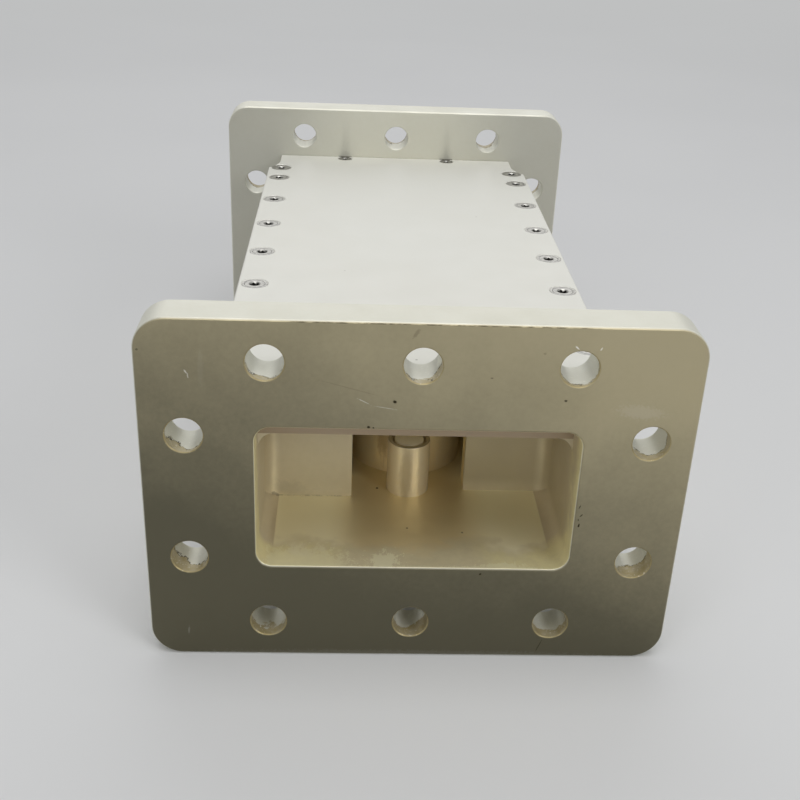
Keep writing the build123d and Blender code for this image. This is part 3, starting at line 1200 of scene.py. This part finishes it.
@dataclass(frozen=True)
class CoverScrew:
    """Countersunk cover screw with a six-lobe recess, modelled once and copied into every hole.

    Args:
        groups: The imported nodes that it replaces.
        head: Radius of the head, in millimetres.
        shank: Radius of the shank.
        rim_height: Height of the head's short straight rim.
        rim_break: Bevel round the head.
        lobes: Number of lobes.
        lobe_reach: Radius over the lobes, as a share of the head's diameter.
        lobe_radius: Radius of one lobe, as the same share.
        recess_depth: Depth of the recess, as the same share.
        mouth: How far the recess's broken mouth reaches beyond its lobes, in millimetres.
        mouth_depth: Depth of the cone that breaks it.
        point: Depth of the drill point below the recess.
        point_tip: Width of its tip, as a share of the core's.
        above: How far the cutters stand above the head.
        groove_place: Radius of the fine groove in the head, as a share of the head's radius.
        groove_width: Its width, in millimetres.
        groove_depth: Its depth, in millimetres.
        turn: Turn from one screw to the next, in degrees.
    """

    groups: tuple[str, ...]
    head: float
    shank: float
    rim_height: float = 0.17
    rim_break: float = 0.1
    lobes: int = 6
    lobe_reach: float = 0.21
    lobe_radius: float = 0.055
    recess_depth: float = 0.2
    mouth: float = 0.12
    mouth_depth: float = 0.4
    point: float = 0.25
    point_tip: float = 0.1
    above: float = 0.2
    groove_place: float = 0.82
    groove_width: float = 0.1
    groove_depth: float = 0.4
    turn: float = 37.0

    def model(self) -> Piece:
        """Models one screw about its own axis, with the top of its head at Z = 0.

        Returns:
            The pattern piece.
        """
        low, high = span(self.groups[0])
        cone = self.head - self.shank
        deselect()
        bpy.ops.mesh.primitive_cylinder_add(
            vertices=HEAD_FACETS, radius=self.head * MM, depth=self.rim_height * MM,
            location=(0, 0, -self.rim_height / 2 * MM),
        )
        screw = rename("cover_screw_pattern")
        bpy.ops.object.transform_apply(location=True)
        mode("EDIT")
        pick(screw, "faces", level(-self.rim_height))
        extrude(-cone)
        widen(self.shank / self.head)
        extrude(-(high.z - low.z - self.rim_height - cone))
        pick(screw, "edges", level(0.0))
        bpy.ops.mesh.bevel(offset=self.rim_break * MM, segments=3, profile=0.6)
        pick(screw, "faces", level(0.0))
        bpy.ops.mesh.inset(thickness=((1 - self.groove_place) * self.head - self.rim_break) * MM)
        extrude(-self.groove_depth)
        bpy.ops.mesh.inset(thickness=self.groove_width * MM)
        extrude(self.groove_depth)
        mode("OBJECT")
        combine(screw, self.recess(), "DIFFERENCE")
        smooth(screw)
        return screw

    def recess(self) -> Piece:
        """Models the cutter of the recess: six lobes round a core, a drill point and a flared mouth.

        Returns:
            The cutter.
        """
        shares = (self.lobe_radius, self.lobe_reach, self.recess_depth)
        lobe, reach, depth = (share * 2 * self.head for share in shares)
        core = reach - lobe
        cutter = peg(core, self.above, -depth, CORE_FACETS)
        mode("EDIT")
        pick(cutter, "faces", level(-depth))
        extrude(-self.point)
        widen(self.point_tip)
        mode("OBJECT")
        for i in range(self.lobes):
            angle = 2 * math.pi * i / self.lobes
            place = (core * math.cos(angle), core * math.sin(angle))
            combine(cutter, peg(lobe, self.above, -depth, LOBE_FACETS, place), "UNION")
        narrow = reach + self.mouth - self.mouth_depth
        mouth = peg(narrow, self.above, -self.mouth_depth, MOUTH_FACETS)
        mode("EDIT")
        pick(mouth, "faces", level(self.above))
        widen((reach + self.mouth + self.above) / narrow)
        mode("OBJECT")
        combine(cutter, mouth, "UNION")
        return cutter

    def places(self, node: str) -> list[Vector]:
        """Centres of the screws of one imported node, at the top of their heads.

        Args:
            node: The node's name.

        Returns:
            The centres, in metres, from front to rear.
        """
        near = 0.01 * MM
        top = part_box(node)[1].z
        heads: list[list[Vector]] = []
        for point in [v.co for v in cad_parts[node].data.vertices if v.co.z > top - near]:
            own = [head for head in heads if (head[0] - point).length < 2 * self.head * MM + near]
            if own:
                own[0].append(point)
            else:
                heads.append([point])
        middles = [Vector([(min(axis) + max(axis)) / 2 for axis in zip(*head)]) for head in heads]
        return sorted(middles, key=lambda p: (round(p.y, 5), p.x))

    def build(self, wardrobe: Wardrobe) -> None:
        """Models the screw and fills every hole.

        Args:
            wardrobe: The finishes.
        """
        pattern = self.model()
        wardrobe.dress(pattern, Slot.SCREW)
        for group, node in enumerate(self.groups):
            for i, place in enumerate(self.places(node), 1):
                name = f"{node.replace('screws', 'screw')}_{i}"
                piece = copy(pattern, name, place, self.turn * (i + 3 * group))
                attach(piece, BODY)
                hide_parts(node)
            LOG.info("%s replaced by %d modelled screws", node, i)
        scrap(pattern)


@dataclass(frozen=True)
class TuningRod:
    """Tuning rod with a threaded, slotted tail and a plain top, one pattern for each size.

    Args:
        stem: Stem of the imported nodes' names.
        count: Number of rods of this size.
        pitch: Thread pitch, in millimetres.
        thread_top: Length of the threaded tail.
        thread_depth: Depth of the thread, as a share of its pitch.
        slot_width: Width of the driver slot.
        slot_depth: Depth of the driver slot.
        end_break: Bevel at the tail.
        shoulder_break: Bevel where the plain part meets the thread.
        top_break: Bevel at the top.
        overlap: How far the plain part reaches into the thread.
        trim: How much wider than the thread the bar that trims it is.
        steps: Facets round the thread.
        turn: Turn from one rod to the next, in degrees.
    """

    stem: str
    count: int
    pitch: float
    thread_top: float
    thread_depth: float = 0.54
    slot_width: float = 1.2
    slot_depth: float = 1.4
    end_break: float = 0.5
    shoulder_break: float = 0.3
    top_break: float = 0.12
    overlap: float = 0.4
    trim: float = 0.1
    steps: int = 32
    turn: float = 23.0

    def model(self) -> Piece:
        """Models one rod about its own axis, with its tail at Z = 0.

        Returns:
            The pattern piece.
        """
        low, high = span(f"{self.stem}_1")
        radius = (high.x - low.x) / 2
        length, shoulder = high.z - low.z, self.thread_top - self.overlap
        rod = self.thread(radius)
        combine(rod, self.tail_shape(radius), "INTERSECT")
        top = peg(radius, length, shoulder, ROD_FACETS)
        mode("EDIT")
        for height, width in ((shoulder, self.shoulder_break), (length, self.top_break)):
            pick(top, "edges", level(height))
            bpy.ops.mesh.bevel(offset=width * MM, segments=2)
        mode("OBJECT")
        combine(rod, top, "UNION")
        deselect()
        bpy.ops.mesh.primitive_cube_add(size=1.0)
        slot = rename("slot_cutter")
        bpy.ops.transform.resize(value=(3 * radius * MM, self.slot_width * MM, 2 * self.slot_depth * MM))
        bpy.ops.object.transform_apply(scale=True)
        combine(rod, slot, "DIFFERENCE")
        smooth(rod)
        return rod

    def thread(self, radius: float) -> Piece:
        """Models the thread as one screwed zigzag with closed ends, a little longer than the tail.

        Args:
            radius: Outer radius of the thread, in millimetres.

        Returns:
            The threaded bar.
        """
        depth = self.thread_depth * self.pitch
        deselect()
        bpy.ops.mesh.primitive_circle_add(vertices=4, radius=1.0 * MM, fill_type="NOTHING")
        bar = rename(f"{self.stem}_pattern")
        mode("EDIT")
        pick(bar, "verts", lambda v: v.co.x < -0.5 * MM)
        bpy.ops.mesh.delete(type="VERT")
        bpy.ops.mesh.select_all(action="SELECT")
        bpy.ops.transform.rotate(value=math.pi / 2, orient_axis="X", center_override=(0, 0, 0))
        bpy.ops.transform.resize(value=(depth, 1, self.pitch / 2), center_override=(0, 0, 0))
        bpy.ops.transform.translate(value=((radius - depth) * MM, 0, -TURNS_BELOW * self.pitch * MM))
        mode("OBJECT")
        sweep = bar.modifiers.new("sweep", "SCREW")
        sweep.axis = "Z"
        sweep.angle = 2 * math.pi
        sweep.screw_offset = self.pitch * MM
        sweep.iterations = int(self.thread_top / self.pitch) + SPARE_TURNS
        sweep.steps = self.steps
        sweep.render_steps = self.steps
        bpy.ops.object.modifier_apply(modifier=sweep.name)
        mode("EDIT")
        for step, option in (
            (bpy.ops.mesh.remove_doubles, {"threshold": 1e-7}), (bpy.ops.mesh.fill_holes, {"sides": 0}),
            (bpy.ops.mesh.normals_make_consistent, {"inside": False}),
        ):
            bpy.ops.mesh.select_all(action="SELECT")
            step(**option)
        mode("OBJECT")
        return bar

    def tail_shape(self, radius: float) -> Piece:
        """Models the bevelled bar that trims the thread to its length.

        Args:
            radius: Outer radius of the thread, in millimetres.

        Returns:
            The bar.
        """
        bar = peg(radius + self.trim, self.thread_top, 0.0, ROD_FACETS)
        mode("EDIT")
        pick(bar, "edges", level(0.0))
        bpy.ops.mesh.bevel(offset=(self.end_break + self.trim) * MM, segments=1)
        mode("OBJECT")
        return bar

    def build(self, wardrobe: Wardrobe) -> None:
        """Models the rod and puts a copy in each place.

        Args:
            wardrobe: The finishes.
        """
        pattern = self.model()
        wardrobe.dress(pattern, Slot.ROD)
        for i, node in enumerate(numbered(self.stem, self.count), 1):
            low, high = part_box(node)
            place = Vector(((low.x + high.x) / 2, (low.y + high.y) / 2, low.z))
            piece = copy(pattern, f"threaded_{node}", place, self.turn * i)
            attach(piece, BODY)
            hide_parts(node)
            LOG.info("%s replaced by a threaded rod", node)
        scrap(pattern)


# Studio


@dataclass(frozen=True)
class Lamp:
    """One soft square lamp.

    Args:
        name: Its name.
        place: Where it hangs, in metres.
        aim: What it points at, in metres.
        size: Side of its square, in metres.
        glow: Its brightness, where 1 looks white.
    """

    name: str
    place: Triple
    aim: Triple
    size: float
    glow: float

    def hang(self) -> None:
        """Adds the lamp to the scene."""
        light = bpy.data.lights.new(self.name, "AREA")
        light.shape = "SQUARE"
        light.size = self.size
        light.energy = self.glow * math.pi * self.size**2
        lamp = bpy.data.objects.new(self.name, light)
        lamp.location = self.place
        direction = Vector(self.aim) - Vector(self.place)
        lamp.rotation_euler = direction.to_track_quat("-Z", "Y").to_euler()
        bpy.context.scene.collection.objects.link(lamp)


@dataclass(frozen=True)
class Studio:
    """Pale floor, soft lamps and an even world.

    Args:
        floor_side: Side of the floor, in metres.
        world_colour: Colour of the even light.
        world_strength: Strength of the even light.
        lamps: The lamps.
    """

    floor_side: float = 12.0
    world_colour: Colour = (0.98, 0.99, 1.0)
    world_strength: float = 0.26
    lamps: tuple[Lamp, ...] = (
        Lamp("overhead_softbox", (0.0, -0.2, 1.25), (0.0, 0.05, 0.0), 1.0, 2.2),
        Lamp("back_softbox", (0.0, 1.5, 0.8), (0.0, 0.1, 0.0), 1.6, 0.66),
        Lamp("left_softbox", (-0.6, -0.7, 0.45), (0.0, 0.02, 0.0), 0.35, 1.6),
        Lamp("right_softbox", (0.72, -0.70, 0.52), (0.0, 0.02, 0.0), 0.4, 4.8),
    )

    def build(self) -> None:
        """Lays the floor, hangs the lamps and sets the world."""
        deselect()
        bpy.ops.mesh.primitive_plane_add(size=self.floor_side, location=(0, 0, CAD_BOX[0].z))
        floor = rename("studio_floor")
        bpy.ops.object.transform_apply(location=True)
        floor.data.materials.append(PaleFloor().build())
        for lamp in self.lamps:
            lamp.hang()
        world = bpy.data.worlds.new("studio_world")
        bpy.context.scene.world = world
        world.use_nodes = True
        tree = world.node_tree
        mix = tree.nodes.new("ShaderNodeMix")
        mix.data_type = "RGBA"
        tree.links.new(seen_directly(tree), mix.inputs[0])
        mix.inputs[6].default_value = (*(self.world_strength * c for c in self.world_colour), 1.0)
        mix.inputs[7].default_value = (*BACKDROP, 1.0)
        tree.links.new(mix.outputs[2], tree.nodes["Background"].inputs["Color"])
        LOG.info("studio ready with %d lamps", len(self.lamps))


@dataclass(frozen=True)
class PhotoCamera:
    """The photograph's camera.

    Args:
        place: Its place, in millimetres.
        turn: Its turns about X, Y and Z, in degrees.
        focal: Focal length, in millimetres.
        film: Width of the film, in millimetres.
    """

    place: Triple = (-12.68, -176.02, 108.51)
    turn: Triple = (63.438, -2.182, -1.818)
    focal: float = 51.33
    film: float = 36.0

    def build(self) -> None:
        """Adds the camera and makes it the scene's own."""
        data = bpy.data.cameras.new("photo_camera")
        data.lens = self.focal
        data.sensor_width = self.film
        data.sensor_fit = "HORIZONTAL"
        data.clip_start = 0.01
        camera = bpy.data.objects.new("photo_camera", data)
        camera.location = Vector(self.place) * MM
        camera.rotation_euler = tuple(math.radians(a) for a in self.turn)
        bpy.context.scene.collection.objects.link(camera)
        bpy.context.scene.camera = camera


def numbered(stem: str, count: int) -> tuple[str, ...]:
    """Names of a stem's nodes, from 1 up to count."""
    return tuple(f"{stem}_{i}" for i in range(1, count + 1))


def main() -> None:
    """Builds the camera, dresses the part and lights it."""
    logging.basicConfig(level=logging.INFO, format="%(name)s: %(message)s")
    bpy.context.scene.view_settings.view_transform = "Standard"
    PhotoCamera().build()
    wardrobe = Wardrobe()
    groups = (
        CadGroup(Slot.HOUSING, ("housing",)),
        CadGroup(Slot.FLANGE, ("front_flange", "rear_flange")),
        CadGroup(Slot.COVER, ("top_cover",)),
        CadGroup(Slot.RESONATOR, numbered("resonator", 3) + numbered("coupling_post", 4)),
        CadGroup(Slot.NUT, numbered("resonator_nut", 3) + numbered("coupling_nut", 4)),
    )
    for group in groups:
        group.dress(wardrobe)
    CoverScrew(("cover_screws_left", "cover_screws_right"), 2.75, 1.5).build(wardrobe)
    CoverScrew(("cover_end_screws_front", "cover_end_screws_rear"), 2.0, 1.0).build(wardrobe)
    TuningRod("resonator_rod", 3, 1.0, 16.4).build(wardrobe)
    TuningRod("coupling_rod", 4, 0.75, 14.0).build(wardrobe)
    Studio().build()


if __name__ == "__main__":
    main()
